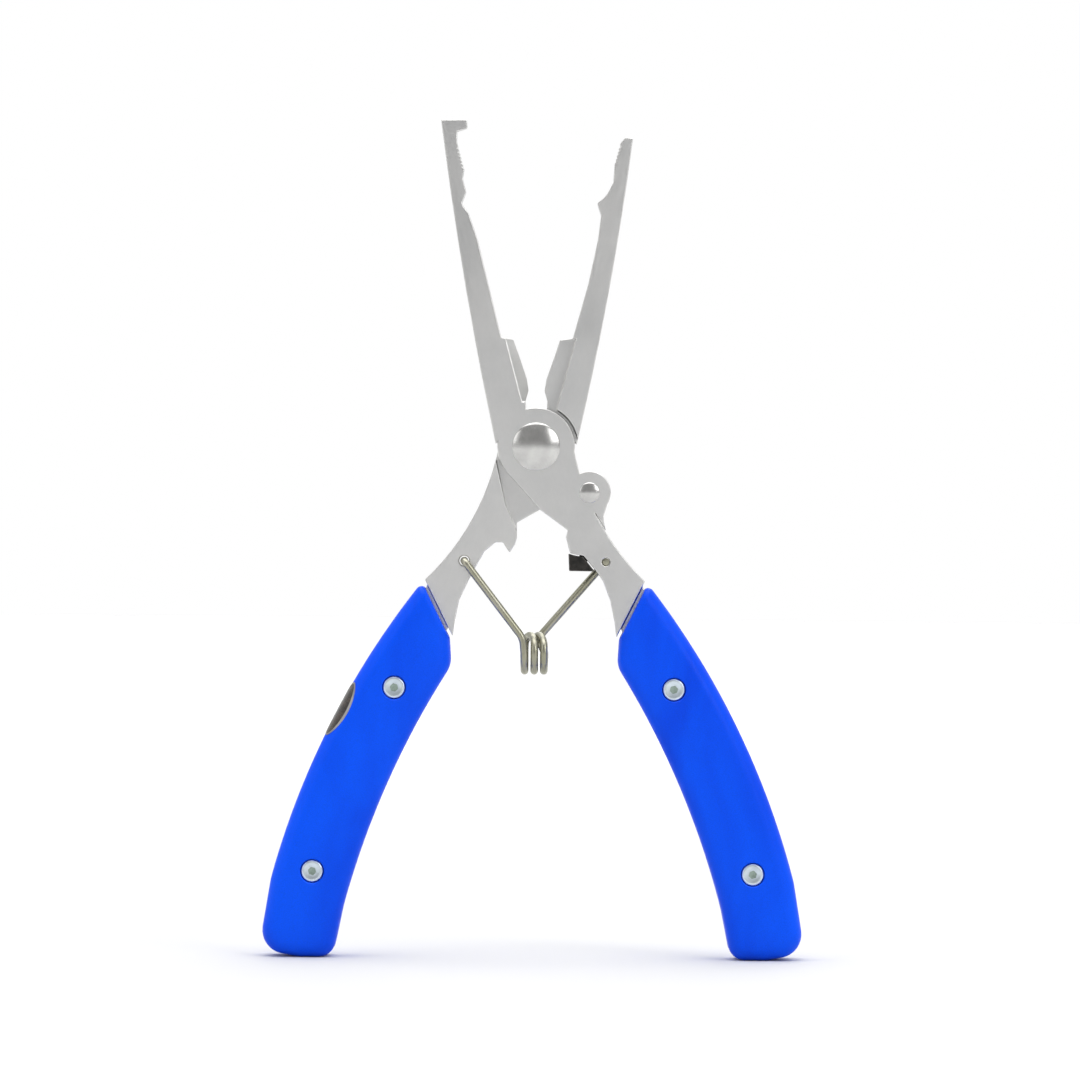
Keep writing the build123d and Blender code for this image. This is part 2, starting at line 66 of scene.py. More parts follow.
LENS = 200.0
VIEW_WIDTH = 0.2538  # metres across the view at the pliers
AIM = Vector((0.0011, 0.0, 0.0981))
ROLL = math.radians(0.5)  # the pliers lean a little to the right in the view


def add_camera():
    """A long lens, level and square to the front of the pliers."""
    data = bpy.data.cameras.new("camera")
    data.lens = LENS
    distance = VIEW_WIDTH * LENS / data.sensor_width
    data.clip_start = 0.05
    data.clip_end = 30
    camera = bpy.data.objects.new("camera", data)
    camera.location = AIM + Vector((0, -distance, 0))
    camera.rotation_euler = (math.radians(90), -ROLL, 0)
    scene.collection.objects.link(camera)
    scene.camera = camera


# ---------------------------------------------------------------- materials


class Graph:
    """A material's node tree with short calls for the nodes used here."""

    def __init__(self, name, metallic=0.0, specular=0.5, coat=0.0, coat_roughness=0.1):
        self.material = bpy.data.materials.new(name)
        self.material.use_nodes = True
        self.tree = self.material.node_tree
        self.shader = self.tree.nodes["Principled BSDF"]
        self.shader.inputs["Metallic"].default_value = metallic
        self.shader.inputs["Specular IOR Level"].default_value = specular
        self.shader.inputs["Coat Weight"].default_value = coat
        self.shader.inputs["Coat Roughness"].default_value = coat_roughness
        self.place = self.tree.nodes.new("ShaderNodeTexCoord").outputs["Object"]

    def link(self, source, target):
        self.tree.links.new(source, target)

    def stretched(self, scale, lean=0.0):
        """Object coordinates in millimetres, leaned about Y and scaled along each axis."""
        turn = self.tree.nodes.new("ShaderNodeMapping")
        turn.inputs["Rotation"].default_value = (0, lean, 0)
        self.link(self.place, turn.inputs["Vector"])
        size = self.tree.nodes.new("ShaderNodeMapping")
        size.inputs["Scale"].default_value = [value / MM for value in scale]
        self.link(turn.outputs[0], size.inputs["Vector"])
        return size.outputs[0]

    def noise(self, vector, detail=4.0, roughness=0.55, distortion=0.0):
        node = self.tree.nodes.new("ShaderNodeTexNoise")
        node.inputs["Scale"].default_value = 1.0
        node.inputs["Detail"].default_value = detail
        node.inputs["Roughness"].default_value = roughness
        node.inputs["Distortion"].default_value = distortion
        self.link(vector, node.inputs["Vector"])
        return node.outputs["Fac"]

    def ramp(self, value, stops):
        """Colours a value; stops are (position, colour or grey)."""
        node = self.tree.nodes.new("ShaderNodeValToRGB")
        elements = node.color_ramp.elements
        while len(elements) < len(stops):
            elements.new(0.5)
        for element, (position, colour) in zip(elements, stops):
            element.position = position
            rgb = (colour,) * 3 if isinstance(colour, (int, float)) else colour
            element.color = (*rgb, 1)
        self.link(value, node.inputs["Fac"])
        return node.outputs["Color"]

    def span(self, value, low, high, from_low=0.3, from_high=0.7):
        """Carries a value from the range from_low to from_high over to the range low to high."""
        node = self.tree.nodes.new("ShaderNodeMapRange")
        node.inputs["From Min"].default_value = from_low
        node.inputs["From Max"].default_value = from_high
        node.inputs["To Min"].default_value = low
        node.inputs["To Max"].default_value = high
        self.link(value, node.inputs["Value"])
        return node.outputs["Result"]

    def mix(self, factor, a, b, blend="MIX"):
        """Blends two colours; each of the three is a fixed value or a node's output."""
        node = self.tree.nodes.new("ShaderNodeMix")
        node.data_type = "RGBA"
        node.blend_type = blend
        for socket, value in (("Factor", factor), ("A", a), ("B", b)):
            inputs = [i for i in node.inputs if i.name == socket and i.enabled]
            if hasattr(value, "is_linked"):
                self.link(value, inputs[0])
            elif socket == "Factor":
                inputs[0].default_value = value
            else:
                inputs[0].default_value = (*value, 1)
        return [o for o in node.outputs if o.enabled][0]

    def colour(self, source):
        self.link(source, self.shader.inputs["Base Color"])

    def gloss(self, source):
        self.link(source, self.shader.inputs["Roughness"])

    def relief(self, *layers):
        """Bumps the surface; layers are (height, strength, depth in mm), the deepest first."""
        normal = None
        for height, strength, depth in layers:
            bump = self.tree.nodes.new("ShaderNodeBump")
            bump.inputs["Strength"].default_value = strength
            bump.inputs["Distance"].default_value = depth * MM
            self.link(height, bump.inputs["Height"])
            if normal is not None:
                self.link(normal, bump.inputs["Normal"])
            normal = bump.outputs["Normal"]
        self.link(normal, self.shader.inputs["Normal"])


def steel(name, lean, light, dark, rough):
    """Satin stainless steel with a fine ground grain along the piece."""
    graph = Graph(name, metallic=1.0)
    grain = graph.noise(graph.stretched((3.2, 3.2, 0.12), lean), detail=5, roughness=0.65)
    cloud = graph.noise(graph.stretched((0.05, 0.05, 0.05)), detail=3)
    speck = graph.noise(graph.stretched((1.6, 1.6, 0.9), lean), detail=3, roughness=0.7)
    tone = graph.ramp(cloud, ((0.3, dark), (0.7, light)))
    fleck = graph.ramp(speck, ((0.35, dark), (0.65, light)))
    graph.colour(graph.mix(0.22, tone, fleck, "MULTIPLY"))
    graph.gloss(graph.span(grain, rough - 0.05, rough + 0.07))
    graph.relief((speck, 0.10, 0.02), (grain, 0.35, 0.008))
    return graph.material


def polished(name, colour, rough):
    """Bright turned steel with faint scratches and rubbed patches."""
    graph = Graph(name, metallic=1.0)
    scratch = graph.noise(graph.stretched((0.5, 0.5, 6.0), 0.5), detail=4, roughness=0.7)
    patch = graph.noise(graph.stretched((0.35, 0.35, 0.35)), detail=4)
    darker = tuple(0.82 * value for value in colour)
    graph.colour(graph.ramp(patch, ((0.3, darker), (0.65, colour))))
    graph.gloss(graph.span(scratch, rough, rough + 0.08))
    graph.relief((scratch, 0.08, 0.004))
    return graph.material


def black_oxide(name, colour, worn, rough):
    """Blackened steel, a little browner and smoother where it has rubbed."""
    graph = Graph(name, metallic=0.55, specular=0.4)
    patch = graph.noise(graph.stretched((0.45, 0.45, 0.45)), detail=5, roughness=0.65)
    grit = graph.noise(graph.stretched((5, 5, 5)), detail=3)
    graph.colour(graph.ramp(patch, ((0.42, colour), (0.75, worn))))
    graph.gloss(graph.span(grit, rough, rough + 0.14))
    graph.relief((grit, 0.25, 0.01))
    return graph.material


def spring_steel(name):
    """Drawn wire with lengthwise die lines and a warm olive tint of old oil."""
    graph = Graph(name, metallic=1.0)
    tint = graph.noise(graph.stretched((0.16, 0.16, 0.16)), detail=4)
    drawn = graph.noise(graph.stretched((2.5, 2.5, 0.25)), detail=4, roughness=0.7)
    base = graph.ramp(tint, ((0.35, (0.34, 0.335, 0.25)), (0.65, (0.42, 0.41, 0.34))))
    lines = graph.ramp(drawn, ((0.3, (0.6, 0.58, 0.46)), (0.7, (1, 1, 0.95))))
    graph.colour(graph.mix(0.25, base, lines, "MULTIPLY"))
    graph.gloss(graph.span(drawn, 0.26, 0.40))
    graph.relief((drawn, 0.15, 0.008))
    return graph.material


def moulded_plastic(name):
    """Bright blue moulded plastic: a fine spark texture, slight flow marks and handling gloss."""
    graph = Graph(name, specular=0.10)
    flow = graph.noise(graph.stretched((0.045, 0.045, 0.02)), detail=3, distortion=0.6)
    spark = graph.noise(graph.stretched((4.5, 4.5, 4.5)), detail=2, roughness=0.6)
    rub = graph.noise(graph.stretched((0.12, 0.12, 0.07)), detail=4, roughness=0.6)
    base = graph.ramp(flow, ((0.35, (0.0008, 0.060, 0.76)), (0.65, (0.0010, 0.090, 0.93))))
    fleck = graph.ramp(spark, ((0.3, (0.86, 0.86, 0.86)), (0.6, (1, 1, 1))))
    graph.colour(graph.mix(1.0, base, fleck, "MULTIPLY"))
    graph.gloss(graph.span(rub, 0.34, 0.48))
    graph.relief((rub, 0.12, 0.06), (spark, 0.30, 0.012))
    return graph.material


def inlay(name):
    """Dark glossy inlay with a brown marbling."""
    graph = Graph(name, specular=0.5, coat=0.4, coat_roughness=0.15)
    marble = graph.noise(graph.stretched((0.30, 0.30, 0.12), 0.3), detail=5, distortion=1.2)
    grit = graph.noise(graph.stretched((3, 3, 3)), detail=2)
    dark, brown, vein = (0.012, 0.010, 0.009), (0.045, 0.030, 0.022), (0.12, 0.085, 0.065)
    graph.colour(graph.ramp(marble, ((0.4, dark), (0.62, brown), (0.8, vein))))
    graph.gloss(graph.span(grit, 0.22, 0.34))
    graph.relief((grit, 0.06, 0.01))
    return graph.material


def socket_painted_shade(name):
    """Painted shade for the inside of the screws' sockets: a darker, mottled grey-green."""
    graph = Graph(name, metallic=0.8)
    shade_mottle = graph.noise(graph.stretched((2, 2, 2)), detail=4)
    graph.colour(graph.ramp(shade_mottle, ((0.3, (0.30, 0.38, 0.34)), (0.7, (0.46, 0.56, 0.50)))))
    graph.gloss(graph.span(shade_mottle, 0.4, 0.6))
    return graph.material


def paper(name, shade, far_shade):
    """The sweep the pliers stand on: fibrous paper, with painted light that makes it paler away from
    them, where the lamps light it less.
    """
    graph = Graph(name, specular=0.2)
    fibre = graph.noise(graph.stretched((0.9, 0.9, 0.9)), detail=3)
    distance = graph.tree.nodes.new("ShaderNodeVectorMath")
    distance.operation = "LENGTH"
    graph.link(graph.place, distance.inputs[0])
    away = graph.span(distance.outputs["Value"], 0.0, 1.0, from_low=0.1, from_high=1.5)
    # Painted light: the paper's colour rises from shade near the pliers to far_shade far away, making up
    # for the weaker light there.
    tone = graph.mix(away, (shade, shade, shade), (far_shade, far_shade, far_shade))
    mottle = graph.ramp(fibre, ((0.2, 0.98), (0.8, 1.0)))
    graph.colour(graph.mix(1.0, tone, mottle, "MULTIPLY"))
    graph.gloss(graph.span(fibre, 0.7, 0.85))
    return graph.material


# ---------------------------------------------------------------- meshes

WELD_DISTANCE = 3e-6
FLAT_ANGLE = math.radians(0.6)  # faces closer in angle than this become one
EDGE_ANGLE = math.radians(32.0)  # edges sharper than this are rounded
# The angles in degrees above which an edge is shaded as a crease.
STEEL_CREASE = 38
TURNED_CREASE = 35
WIRE_CREASE = 50
GRIP_CREASE = 42


def new_object(name, bm, materials, crease=None):
    """Makes an object of a bmesh, shades it smooth between its creases and links it."""
    bmesh.ops.recalc_face_normals(bm, faces=bm.faces)
    mesh = bpy.data.meshes.new(name)
    bm.to_mesh(mesh)
    bm.free()
    for material in materials:
        mesh.materials.append(material)
    mesh.shade_smooth()
    if crease is not None:
        mesh.set_sharp_from_angle(angle=math.radians(crease))
    obj = bpy.data.objects.new(name, mesh)
    scene.collection.objects.link(obj)
    return obj


def apply_modifiers(obj):
    """Bakes the object's modifiers into its mesh."""
    graph = bpy.context.evaluated_depsgraph_get()
    result = obj.evaluated_get(graph)
    mesh = bpy.data.meshes.new_from_object(result, preserve_all_data_layers=True, depsgraph=graph)
    old = obj.data
    obj.modifiers.clear()
    obj.data = mesh
    bpy.data.meshes.remove(old)
    return obj


def even_normals(obj):
    """Keeps large flat faces flat beside their small rounded edges."""
    weighted = obj.modifiers.new("normals", "WEIGHTED_NORMAL")
    weighted.keep_sharp = True
    return apply_modifiers(obj)


def softened_copy(node, name, width, materials):
    """A copy of a CAD node whose sharp edges are rounded, with the second material on the rounds."""
    bm = bmesh.new()
    bm.from_mesh(nodes[node].data)
    bmesh.ops.remove_doubles(bm, verts=bm.verts, dist=WELD_DISTANCE)
    bmesh.ops.dissolve_limit(bm, angle_limit=FLAT_ANGLE, verts=bm.verts, edges=bm.edges)
    for face in bm.faces:
        face.material_index = 0
    inner = [edge for edge in bm.edges if len(edge.link_faces) == 2]
    sharp = [edge for edge in inner if edge.calc_face_angle(0) > EDGE_ANGLE]
    bmesh.ops.bevel(
        bm,
        geom=sharp,
        offset=width * MM,
        offset_type="OFFSET",
        segments=2,
        profile=0.5,
        affect="EDGES",
        clamp_overlap=False,
        loop_slide=True,
        material=1,
    )
    return even_normals(new_object(name, bm, materials, STEEL_CREASE))


def opened(side):
    """The closed drawing in millimetres to the open tool in metres: side is that of the handle."""
    turn = Matrix.Rotation(-side * HALF_OPENING, 4, "Y")
    return Matrix.Scale(MM, 4) @ Matrix.Translation((0, 0, PIVOT_HEIGHT)) @ turn


def cut(obj, cutter, operation="DIFFERENCE"):
    """Cuts obj with a closed helper mesh, or keeps only what they share, and removes the helper."""
    boolean = obj.modifiers.new("cut", "BOOLEAN")
    boolean.operation = operation
    boolean.solver = "EXACT"
    boolean.object = cutter
    bpy.context.view_layer.update()
    apply_modifiers(obj)
    helper = cutter.data
    bpy.data.objects.remove(cutter)
    bpy.data.meshes.remove(helper)
    return obj


def turned(bm, centre, profile, shape=None, dark_from=None, count=64):
    """Turns (radius, depth) pairs about Y through centre (x, z) into a closed solid.

    shape(index, angle) scales the radius of a ring, and faces from ring dark_from on get material 1.
    """
    rings = []
    for index, (radius, depth) in enumerate(profile):
        if radius < 1e-6:
            rings.append([bm.verts.new((centre[0], depth, centre[1]))])
            continue
        ring = []
        for step in range(count):
            angle = 2 * math.pi * step / count
            scaled = radius * (shape(index, angle) if shape else 1.0)
            x = centre[0] + scaled * math.cos(angle)
            z = centre[1] + scaled * math.sin(angle)
            ring.append(bm.verts.new((x, depth, z)))
        rings.append(ring)
    for index, (one, two) in enumerate(zip(rings, rings[1:])):
        for step in range(count):
            after = (step + 1) % count
            corners = [one[step % len(one)], one[after % len(one)]]
            corners += [two[after % len(two)], two[step % len(two)]]
            face = bm.faces.new(list(dict.fromkeys(corners)))
            if dark_from is not None and index >= dark_from:
                face.material_index = 1


def arc_profile(radius, depth, edge, facing, steps=5):
    """The rounded rim of a turned head, from its side onto its face at depth."""
    points = []
    for step in range(steps + 1):
        angle = math.pi / 2 * step / steps
        inset_radius = radius - edge + edge * math.cos(angle)
        points.append((inset_radius, depth - facing * edge * (1 - math.sin(angle))))
    return points


def domed_profile(radius, rise, depth, facing, steps=14):
    """A spherical dome on a base at depth, from its rim to its top."""
    ball = (radius**2 + rise**2) / (2 * rise)
    half = math.asin(radius / ball)
    points = []
    for step in range(steps + 1):
        angle = half * (1 - step / steps)
        height = rise - ball * (1 - math.cos(angle))
        points.append((ball * math.sin(angle), depth + facing * height))
    return points


# ---------------------------------------------------------------- fasteners

STEEL_HALF = 3.5
RIVET = (9.4, -13.6)
SCREWS = {"upper": (16.95, -63.2), "lower": (23.95, -109.7)}
SCREW_FACE = 7.25
SCREW_SEAT = 5.55
HEAD_RADIUS = 2.65
HEAD_ROUND = 0.55
HEX_RADIUS = 0.95
# A head's shallow dish: (radius, depth below the face).
DISH = ((1.75, 0.0), (1.5, 0.10), (1.3, 0.12))
# Its hexagonal socket: (share of HEX_RADIUS, depth below the face).
SOCKET = ((1.06, 0.14), (1.0, 0.24), (1.0, 0.75), (0.5, 0.85), (0.0, 0.9))
# The pieces under the heads: (radius, depth) pairs from the far end to the head.
SCREW_SHANK = ((0, 4.5), (1.4, 4.5), (1.5, 4.4), (1.5, -SCREW_SEAT))
NUT_SLEEVE = ((0, 4.6), (1.55, 4.6), (1.55, -4.5), (2.1, -4.5), (2.1, SCREW_SEAT))
BOLT_SHANK = ((0, 5.9), (2.7, 5.9), (3.0, 5.6), (3.0, -STEEL_HALF))
BOLT_COLLAR = ((5.45, -STEEL_HALF), (5.6, -3.62), (5.6, -3.78))
RIVET_COLLAR = ((2.4, 3.65), (2.4, STEEL_HALF), (1.6, STEEL_HALF))


def hexagon(angle):
    """A hexagon's radius at an angle, for a corner radius of 1."""
    sixth = math.pi / 3
    return math.cos(sixth / 2) / math.cos(angle % sixth - sixth / 2)


def socket_fastener(name, centre, side, facing, shank, materials):
    """A round head with a broken edge, a shallow dish and a hexagonal socket, on its shank."""
    face = facing * SCREW_FACE
    profile = list(shank) + [(HEAD_RADIUS, facing * SCREW_SEAT)]
    profile += arc_profile(HEAD_RADIUS, face, HEAD_ROUND, facing)
    profile += [(radius, face - facing * depth) for radius, depth in DISH]
    first_hex = len(profile)
    profile += [(HEX_RADIUS * share, face - facing * depth) for share, depth in SOCKET]

    def shape(ring, angle):
        return hexagon(angle) if ring >= first_hex else 1.0

    bm = bmesh.new()
    # The socket's walls and floor take the second material, a darker grey-green that is painted shade.
    turned(bm, centre, profile, shape, first_hex)
    bm.transform(opened(side))
    return even_normals(new_object(name, bm, materials, TURNED_CREASE))


def turned_piece(name, centre, profile, materials):
    """A round piece of the front half."""
    bm = bmesh.new()
    turned(bm, centre, profile)
    bm.transform(opened(RIGHT))
    return new_object(name, bm, materials, TURNED_CREASE)


def add_fasteners(bright, plated, dark):
    """The grips' screws and sleeve nuts, the pivot bolt and the lever's rivet."""
    for place, (x, z) in SCREWS.items():
        for word, side, body in (("left", LEFT, "back"), ("right", RIGHT, "front")):
            for kind, facing, shank in (("screw", -1, SCREW_SHANK), ("nut", 1, NUT_SLEEVE)):
                node = f"{word}_{place}_{kind}"
                centre = (side * x, z)
                piece = socket_fastener(f"{node}_turned", centre, side, facing, shank, [plated, dark])
                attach(piece, body)
                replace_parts(piece, node)
    bolt = [*BOLT_SHANK, *BOLT_COLLAR, *domed_profile(radius=5.45, rise=1.1, depth=-3.9, facing=-1)]
    head = turned_piece("pivot_bolt_turned", (0, 0), bolt, [bright])
    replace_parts(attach(head, "front"), "pivot_bolt")
    rivet = [*domed_profile(radius=2.3, rise=0.45, depth=3.75, facing=1)[::-1], *RIVET_COLLAR]
    rivet += [(radius, -depth) for radius, depth in reversed(rivet)]
    pin = turned_piece("lock_rivet_turned", RIVET, rivet, [bright])
    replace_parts(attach(pin, "front"), "lock_rivet")


# ---------------------------------------------------------------- spring

WIRE_RADIUS = 0.9
WIRE_BEND = 1.5
COIL_RADIUS = 4.15
COIL_SIDE = 2.4  # how far to its side the wire enters the coil
COIL_CENTRE = 71.5
HALF_TURNS = 1.25
COIL_STEPS = 80
LOOP_PITCH = 2.25
# The turns over which the wire moves onto its flat loop, and the turns where it steps across.
SETTLE_TURNS = 0.3
STEP_START = 0.56
STEP_TURNS = 0.36
SPRING_HOLE = (16.632, 93.088)
ARM_DEPTH = 4.6
ARM_END = 75.0
ARM_LEAN = {"right": 1.5, "left": -0.3}  # how far inwards each arm's lower end leans
HOOK_END = -3.1
# The wire's rounded start: (distance along it, how much thinner it is there).
TIP_ROUND = ((0.0, 0.3), (0.04, 0.12), (0.2, 0.0))


def smooth(t):
    """An even rise from 0 to 1 as t goes from 0 to 1."""
    t = min(max(t, 0.0), 1.0)
    return t * t * (3 - 2 * t)


def rounded_path(corners, radius, steps=9):
    """A polyline with its inner corners replaced by quadratic bends."""
    points = [corners[0]]
    for before, corner, after in zip(corners, corners[1:], corners[2:]):
        start = corner + (before - corner).normalized() * radius
        end = corner + (after - corner).normalized() * radius
        for step in range(steps + 1):
            t = step / steps
            points.append(start * (1 - t) ** 2 + corner * 2 * t * (1 - t) + end * t * t)
    points.append(corners[-1])
    return points


def coil_point(turns):
    """The wire's centre after a number of turns: a flat loop that steps across near its top."""
    angle = 2 * math.pi * turns
    across = LOOP_PITCH - LOOP_PITCH * smooth((turns - STEP_START) / STEP_TURNS)
    across += (COIL_SIDE - LOOP_PITCH) * (1 - smooth(turns / SETTLE_TURNS))
    return Vector((across, COIL_RADIUS * math.cos(angle), COIL_CENTRE - COIL_RADIUS * math.sin(angle)))


def spring_route(lean):
    """Half of the wire: hook, arm, bend, tail and its share of the turns. lean moves the bend inwards."""
    hole_x, hole_z = SPRING_HOLE
    corners = [
        Vector((hole_x, HOOK_END, hole_z)),
        Vector((hole_x, ARM_DEPTH, hole_z)),
        Vector((COIL_SIDE - lean, COIL_RADIUS, ARM_END)),
        Vector((COIL_SIDE, COIL_RADIUS, COIL_CENTRE)),
    ]
    path = rounded_path(corners, WIRE_BEND)
    path += [coil_point(HALF_TURNS * step / COIL_STEPS) for step in range(1, COIL_STEPS + 1)]
    return path


def wire_mesh(path, radius, count=20):
    """Sweeps a circle along a path without twist, rounds its start and closes both ends."""
    bm = bmesh.new()
    normal = None
    rings = []
    stations = []
    for index, point in enumerate(path):
        ahead = path[min(index + 1, len(path) - 1)] - path[max(index - 1, 0)]
        stations.append((point, ahead.normalized(), radius))
    point, along, _ = stations[0]
    tip = [(point + along * reach, along, radius - less) for reach, less in TIP_ROUND]
    stations = tip + stations[1:]
    for point, along, size in stations:
        if normal is None:
            normal = along.orthogonal().normalized()
        normal = (normal - along * normal.dot(along)).normalized()
        side = along.cross(normal)
        ring = []
        for step in range(count):
            angle = 2 * math.pi * step / count
            ring.append(bm.verts.new(point + (normal * math.cos(angle) + side * math.sin(angle)) * size))
        rings.append(ring)
    for one, two in zip(rings, rings[1:]):
        for step in range(count):
            after = (step + 1) % count
            bm.faces.new((one[step], one[after], two[after], two[step]))
    bm.faces.new(rings[0])
    bm.faces.new(rings[-1])
    return bm


def add_spring(material):
    """The two halves of the wire, each shaped along its arm and joined to the other at the coil."""
    to_right = Matrix.Scale(MM, 4)
    to_left = Matrix.Scale(MM, 4) @ Matrix.Rotation(math.pi, 4, "Z")
    for word, place in (("right", to_right), ("left", to_left)):
        bm = wire_mesh(spring_route(ARM_LEAN[word]), WIRE_RADIUS)
        bm.transform(place)
        wire = new_object(f"spring_wire_{word}", bm, [material], WIRE_CREASE)
        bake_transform(wire)
        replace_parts(wire, f"spring_{word}_arm", "spring_coil")


# ---------------------------------------------------------------- grips

GRIP_HALF = 7.5
EDGE_ROUND = 3.1
TOP_ROUND = 1.2
CROWN = 0.75
CROWN_REACH = 9.5
WALL_TOP = 2.4  # the depth at which a grip's straight side wall begins
SEAM = 0.28  # how far the groove between the two grip scales is set in
SEAM_HALF = 0.22
BEND_STEPS = 16
FOOT_IN = (14.05, -128.00)
FOOT_OUT = (21.59, -130.02)
TOP_IN = (7.5, -48.8)
TOP_OUT = (17.3, -37.7)
# Corners in order with their rounding, and the middle of the arc that leads to the next one.
GRIP_CORNERS = [
    (TOP_OUT, 1.2, (29.8, -79.0)),
    ((32.9, -114.0), 14.0, None),
    ((31.2, -130.9), 5.6, None),
    (FOOT_OUT, 5.0, None),
    (FOOT_IN, 4.0, None),
    ((14.8, -116.0), 14.0, (12.7, -86.3)),
    ((5.5, -54.8), 6.0, None),
    (TOP_IN, 2.6, None),
]


def arc_through(start, middle, end, steps=60):
    """Points on the circle through three points, from start to end."""
    a, b, c = Vector(start), Vector(middle), Vector(end)
    scale = 2 * (a.x * (b.y - c.y) + b.x * (c.y - a.y) + c.x * (a.y - b.y))
    aa, bb, cc = a.length_squared, b.length_squared, c.length_squared
    centre = Vector((
        (aa * (b.y - c.y) + bb * (c.y - a.y) + cc * (a.y - b.y)) / scale,
        (aa * (c.x - b.x) + bb * (a.x - c.x) + cc * (b.x - a.x)) / scale,
    ))
    first = math.atan2(a.y - centre.y, a.x - centre.x)
    swing = math.atan2(c.y - centre.y, c.x - centre.x) - first
    swing = (swing + math.pi) % (2 * math.pi) - math.pi
    radius = (a - centre).length
    angles = [first + swing * step / steps for step in range(steps + 1)]
    return [centre + radius * Vector((math.cos(t), math.sin(t))) for t in angles]


def trimmed(points, length):
    """A run of points with a length taken off its start."""
    points = list(points)
    while len(points) > 2 and (points[1] - points[0]).length < length:
        length -= (points[1] - points[0]).length
        points.pop(0)
    along = (points[1] - points[0]).normalized()
    return [points[0] + along * length] + points[1:]


def grip_boundary():
    """The grip's outline with rounded corners, and where the middle of each corner lies in it."""
    count = len(GRIP_CORNERS)
    runs = []
    for index, (corner, _, middle) in enumerate(GRIP_CORNERS):
        after = GRIP_CORNERS[(index + 1) % count][0]
        runs.append(arc_through(corner, middle, after) if middle else [Vector(corner), Vector(after)])
    bends = []
    for index, (corner, radius, _) in enumerate(GRIP_CORNERS):
        into = (runs[index - 1][-1] - runs[index - 1][-2]).normalized()
        out = (runs[index][1] - runs[index][0]).normalized()
        half = into.angle(out) / 2
        reach = radius * math.tan(half)
        bends.append((Vector(corner), reach, math.cos(half)))
    outline = []
    middles = {}
    for index, run in enumerate(runs):
        corner, reach, weight = bends[index]
        before = trimmed(runs[index - 1][::-1], reach)[0]
        run = trimmed(run, reach)
        start = run[0]
        for step in range(BEND_STEPS + 1):
            t = step / BEND_STEPS
            a, b, c = (1 - t) ** 2, 2 * t * (1 - t) * weight, t * t
            if step == BEND_STEPS // 2:
                middles[tuple(round(v, 2) for v in GRIP_CORNERS[index][0])] = len(outline)
            outline.append((before * a + corner * b + start * c) / (a + b + c))
        run = trimmed(run[::-1], bends[(index + 1) % count][1])[::-1]
        outline += run[1:-1]
    return outline, middles


def resampled(points, count):
    """count + 1 points along a run, closer together towards both ends."""
    lengths = [0.0]
    for one, two in zip(points, points[1:]):
        lengths.append(lengths[-1] + (two - one).length)
    result = []
    index = 0
    for step in range(count + 1):
        target = lengths[-1] * (1 - math.cos(math.pi * step / count)) / 2
        while index < len(points) - 2 and lengths[index + 1] < target:
            index += 1
        part = (target - lengths[index]) / max(lengths[index + 1] - lengths[index], 1e-9)
        result.append(points[index].lerp(points[index + 1], min(max(part, 0), 1)))
    return result


def distances(points, line):
    """How far each point is from a line drawn through a row of points."""
    p = np.array([tuple(v) for v in points])
    a = np.array([tuple(v) for v in line])
    along = a[1:] - a[:-1]
    squared = np.maximum((along**2).sum(1), 1e-12)
    best = np.full(len(p), 1e9)
    for start, step, square in zip(a, along, squared):
        t = np.clip(((p - start) @ step) / square, 0, 1)
        gap = p - start - t[:, None] * step
        best = np.minimum(best, np.hypot(gap[:, 0], gap[:, 1]))
    return best


def edge_drop(distance, radius):
    """How far a rounded edge falls away at a distance in from it."""
    inner = radius - min(distance, radius)
    return radius - math.sqrt(radius**2 - inner**2)


def grip_thickness(from_side, from_top):
    """Half the grip's thickness: a slight crown, rounded sides and a crisper slanted top."""
    fall = max(0.0, 1 - from_side / CROWN_REACH)
    drop = max(edge_drop(from_side, EDGE_ROUND), edge_drop(from_top, TOP_ROUND))
    return GRIP_HALF - drop - CROWN * fall * fall


ALONG = 96
ACROSS = 30


def grip_grid():
    """A grid of (x, z) points that fills the outline, dense at its edges."""
    outline, middles = grip_boundary()
    at = {key: middles[key] for key in (FOOT_OUT, FOOT_IN, TOP_IN, TOP_OUT)}
    loop = outline + outline

    def run(start, end):
        first, last = at[start], at[end]
        return loop[first : (last if last > first else last + len(outline)) + 1]

    outer = resampled(run(TOP_OUT, FOOT_OUT), ALONG)
    foot = resampled(run(FOOT_OUT, FOOT_IN), ACROSS)
    inner = resampled(run(FOOT_IN, TOP_IN), ALONG)[::-1]
    top = resampled(run(TOP_IN, TOP_OUT), ACROSS)[::-1]
    grid = []
    for i in range(ALONG + 1):
        u = (1 - math.cos(math.pi * i / ALONG)) / 2
        row = []
        for j in range(ACROSS + 1):
            v = (1 - math.cos(math.pi * j / ACROSS)) / 2
            sides = outer[i] * (1 - v) + inner[i] * v
            ends = top[j] * (1 - u) + foot[j] * u
            top_corners = (outer[0] * (1 - v) + inner[0] * v) * (1 - u)
            foot_corners = (outer[-1] * (1 - v) + inner[-1] * v) * u
            row.append(sides + ends - (top_corners + foot_corners))
        grid.append(row)
    return grid


